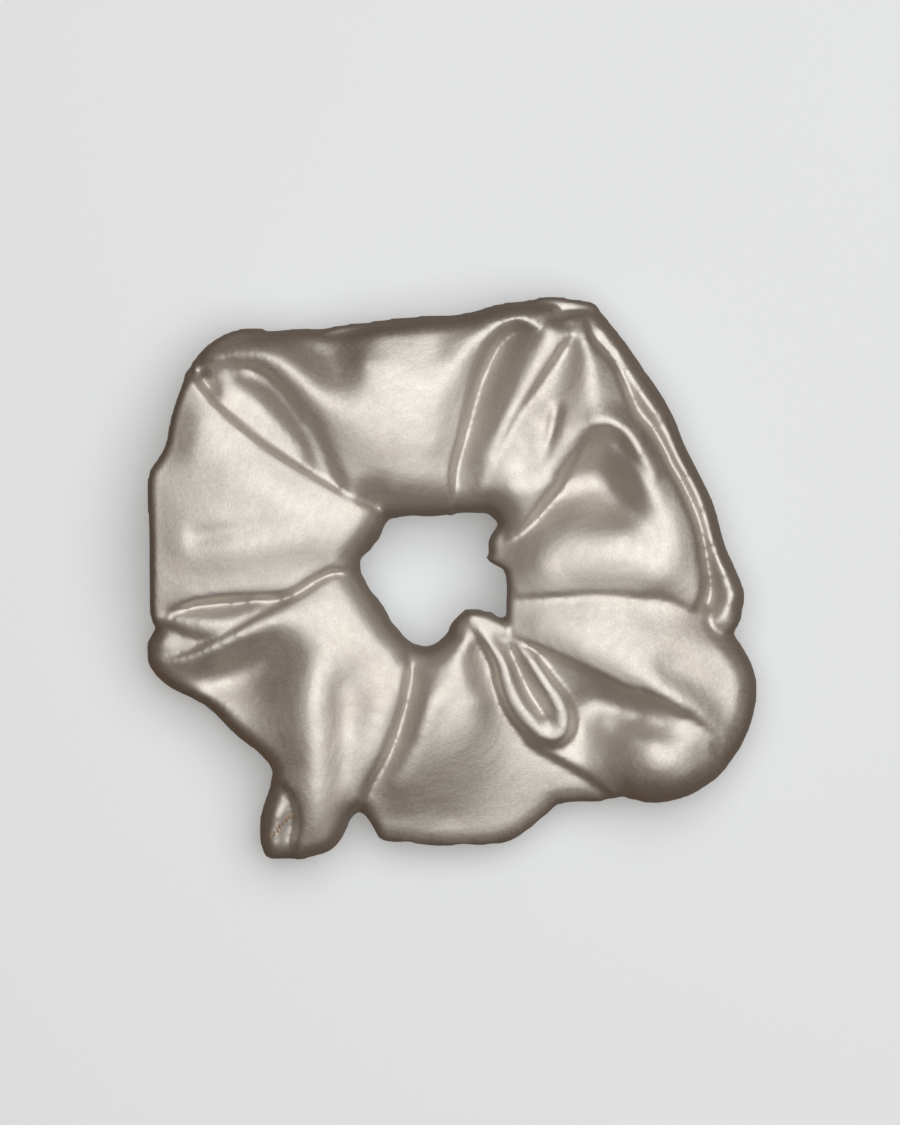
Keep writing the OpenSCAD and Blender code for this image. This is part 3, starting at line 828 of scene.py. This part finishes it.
SATIN_DEEP = (0.44, 0.385, 0.33)
SATIN_PALE = (0.57, 0.53, 0.485)
ELASTIC_DEEP = (0.72, 0.7, 0.65)
ELASTIC_PALE = (0.88, 0.87, 0.84)
WEAVE_RELIEF = 0.000012     # metres, as every relief is
CRUMPLE_RELIEF = 0.00012
BRAID_RELIEF = 0.00015
FUZZ_RELIEF = 0.00005
TWIST_RELIEF = 0.00008


def new_material(name):
    """A material with its nodes and links."""
    material = bpy.data.materials.new(name)
    material.use_nodes = True
    return material, material.node_tree.nodes, material.node_tree.links


def noise(nodes, links, vector, scale, detail):
    """Soft random light and dark."""
    node = nodes.new("ShaderNodeTexNoise")
    node.inputs["Scale"].default_value = scale
    node.inputs["Detail"].default_value = detail
    links.new(vector, node.inputs["Vector"])
    return node.outputs["Fac"]


def twist(nodes, links, vector, scale, distortion):
    """Slanting bands, like the strands of a yarn."""
    node = nodes.new("ShaderNodeTexWave")
    node.bands_direction = "DIAGONAL"
    node.inputs["Scale"].default_value = scale
    node.inputs["Distortion"].default_value = distortion
    links.new(vector, node.inputs["Vector"])
    return node.outputs["Fac"]


def stretched(nodes, links, vector, scale):
    """The vector, scaled by its own amount on each axis."""
    node = nodes.new("ShaderNodeMapping")
    node.inputs["Scale"].default_value = scale
    links.new(vector, node.inputs["Vector"])
    return node.outputs["Vector"]


def ramp(nodes, links, fac, stops):
    """A colour ramp with stops of (position, colour)."""
    node = nodes.new("ShaderNodeValToRGB")
    for i, (place, colour) in enumerate(stops):
        stop = node.color_ramp.elements[i] if i < 2 else node.color_ramp.elements.new(place)
        stop.position = place
        stop.color = (*colour, 1)
    links.new(fac, node.inputs["Fac"])
    return node.outputs["Color"]


def bump(nodes, links, height, depth, below=None):
    """Adds relief of the given depth in metres, on top of another bump."""
    node = nodes.new("ShaderNodeBump")
    node.inputs["Strength"].default_value = 1.0
    node.inputs["Distance"].default_value = depth
    links.new(height, node.inputs["Height"])
    if below is not None:
        links.new(below, node.inputs["Normal"])
    return node.outputs["Normal"]


def satin_material():
    """Polyester satin: a broad soft gloss, a fine weave and a little crumpling."""
    material, nodes, links = new_material("champagne_satin")
    shader = nodes["Principled BSDF"]
    shader.inputs["Metallic"].default_value = 0.85
    shader.inputs["Sheen Weight"].default_value = 0.05
    shader.inputs["Sheen Roughness"].default_value = 0.4
    shader.inputs["Sheen Tint"].default_value = (1.0, 0.93, 0.86, 1)
    coords = nodes.new("ShaderNodeTexCoord")
    cloth = coords.outputs["UV"]
    place = coords.outputs["Generated"]
    threads = noise(nodes, links, stretched(nodes, links, cloth, (160, 420, 1)), 1.0, 2.0)
    slubs = noise(nodes, links, stretched(nodes, links, cloth, (30, 60, 1)), 1.0, 3.0)
    clouds = noise(nodes, links, place, 5.0, 3.0)
    crumple = noise(nodes, links, place, 16.0, 3.0)
    tone = nodes.new("ShaderNodeMix")
    tone.data_type = "RGBA"
    tone.inputs["Factor"].default_value = 0.5
    links.new(ramp(nodes, links, clouds, [(0.3, SATIN_DEEP), (0.7, SATIN_PALE)]), tone.inputs["A"])
    links.new(ramp(nodes, links, threads, [(0.35, SATIN_DEEP), (0.6, SATIN_PALE)]), tone.inputs["B"])
    links.new(tone.outputs["Result"], shader.inputs["Base Color"])
    gloss = nodes.new("ShaderNodeMapRange")
    gloss.inputs["From Min"].default_value = 0.3
    gloss.inputs["From Max"].default_value = 0.7
    gloss.inputs["To Min"].default_value = 0.52
    gloss.inputs["To Max"].default_value = 0.58
    links.new(slubs, gloss.inputs["Value"])
    links.new(gloss.outputs["Result"], shader.inputs["Roughness"])
    normal = bump(nodes, links, threads, WEAVE_RELIEF)
    normal = bump(nodes, links, slubs, WEAVE_RELIEF, normal)
    normal = bump(nodes, links, crumple, CRUMPLE_RELIEF, normal)
    links.new(normal, shader.inputs["Normal"])
    return material


def elastic_material():
    """Off-white braid with a slight fuzz."""
    material, nodes, links = new_material("braided_elastic")
    shader = nodes["Principled BSDF"]
    shader.inputs["Roughness"].default_value = 0.8
    shader.inputs["Sheen Weight"].default_value = 0.3
    place = nodes.new("ShaderNodeTexCoord").outputs["Object"]
    braid = twist(nodes, links, place, 700, 1.5)
    fuzz = noise(nodes, links, place, 2500, 2.0)
    links.new(ramp(nodes, links, braid, [(0.2, ELASTIC_DEEP), (0.8, ELASTIC_PALE)]),
              shader.inputs["Base Color"])
    normal = bump(nodes, links, braid, BRAID_RELIEF)
    links.new(bump(nodes, links, fuzz, FUZZ_RELIEF, normal), shader.inputs["Normal"])
    return material


def thread_material(name, dark, light):
    """Twisted sewing thread."""
    material, nodes, links = new_material(name)
    shader = nodes["Principled BSDF"]
    shader.inputs["Roughness"].default_value = 0.6
    shader.inputs["Sheen Weight"].default_value = 0.3
    place = nodes.new("ShaderNodeTexCoord").outputs["Object"]
    strands = twist(nodes, links, place, 1400, 0.8)
    links.new(ramp(nodes, links, strands, [(0.25, dark), (0.75, light)]),
              shader.inputs["Base Color"])
    links.new(bump(nodes, links, strands, TWIST_RELIEF), shader.inputs["Normal"])
    return material

# -------- the pieces

xs, ys, top, under = heights()
cover = build_cover(xs, ys, top, under)
cover.data.materials.append(satin_material())
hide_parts("satin_cover_left", "satin_cover_right")
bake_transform(cover)

elastic = build_elastic()
elastic.data.materials.append(elastic_material())
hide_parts("elastic_band_left", "elastic_band_right")
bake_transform(elastic)

join = build_join_stitches()
cream = thread_material("cream_thread", (0.5, 0.42, 0.34), (0.72, 0.64, 0.55))
join.data.materials.append(cream)
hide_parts("elastic_join_stitches")
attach(join, "left_half")

seam = build_long_seam()
seam.data.materials.append(cream)
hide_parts("long_seam_thread_left", "long_seam_thread_right")
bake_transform(seam)

closing = build_closing_stitches(xs, ys, top)
brown = thread_material("brown_thread", (0.2, 0.1, 0.04), (0.42, 0.25, 0.13))
closing.data.materials.append(brown)
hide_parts("closing_seam_stitches")
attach(closing, "left_half")

# -------- floor, light, camera

def floor_piece():
    """A pale table that doesn't throw its own light back at the satin."""
    bpy.ops.mesh.primitive_plane_add(size=4, location=(0, 0, 0))
    floor = bpy.context.object
    floor.name = "floor"
    material, nodes, links = new_material("pale_floor")
    shader = nodes["Principled BSDF"]
    shader.inputs["Base Color"].default_value = (0.51, 0.51, 0.507, 1)
    shader.inputs["Roughness"].default_value = 0.9
    shader.inputs["Emission Color"].default_value = (1.0, 1.0, 0.99, 1)
    shader.inputs["Emission Strength"].default_value = 0.2
    floor.data.materials.append(material)
    floor.visible_diffuse = False
    floor.visible_glossy = False


def area_light(name, place, aim, size, power):
    """A round soft lamp, a little cool."""
    data = bpy.data.lights.new(name, "AREA")
    data.shape = "DISK"
    data.size = size
    data.energy = power
    data.color = (0.92, 0.97, 1.0)
    light = bpy.data.objects.new(name, data)
    bpy.context.scene.collection.objects.link(light)
    light.location = place
    light.rotation_euler = (Vector(aim) - Vector(place)).to_track_quat("-Z", "Y").to_euler()


def camera():
    """Straight above, so that the frame is view_height tall at the level of the folds."""
    data = bpy.data.cameras.new("camera")
    data.sensor_width = 36
    distance, level, view_height = 1.5, 0.014, 0.21375
    data.lens = data.sensor_width * (distance - level) / view_height
    obj = bpy.data.objects.new("camera", data)
    bpy.context.scene.collection.objects.link(obj)
    obj.location = (-0.0004, 0.003, distance)
    bpy.context.scene.camera = obj


def studio():
    """A dim warm room, so that steep folds go brown while what faces the lamp stays pale."""
    world = bpy.data.worlds.new("studio")
    bpy.context.scene.world = world
    world.use_nodes = True
    background = world.node_tree.nodes["Background"]
    background.inputs["Color"].default_value = (0.6, 0.32, 0.14, 1)
    background.inputs["Strength"].default_value = 0.14


floor_piece()
area_light("softbox", place=(0.15, 0.12, 0.9), aim=(0, 0, 0.01), size=1.3, power=13.7)
bpy.context.scene.view_settings.view_transform = "Standard"
camera()
studio()
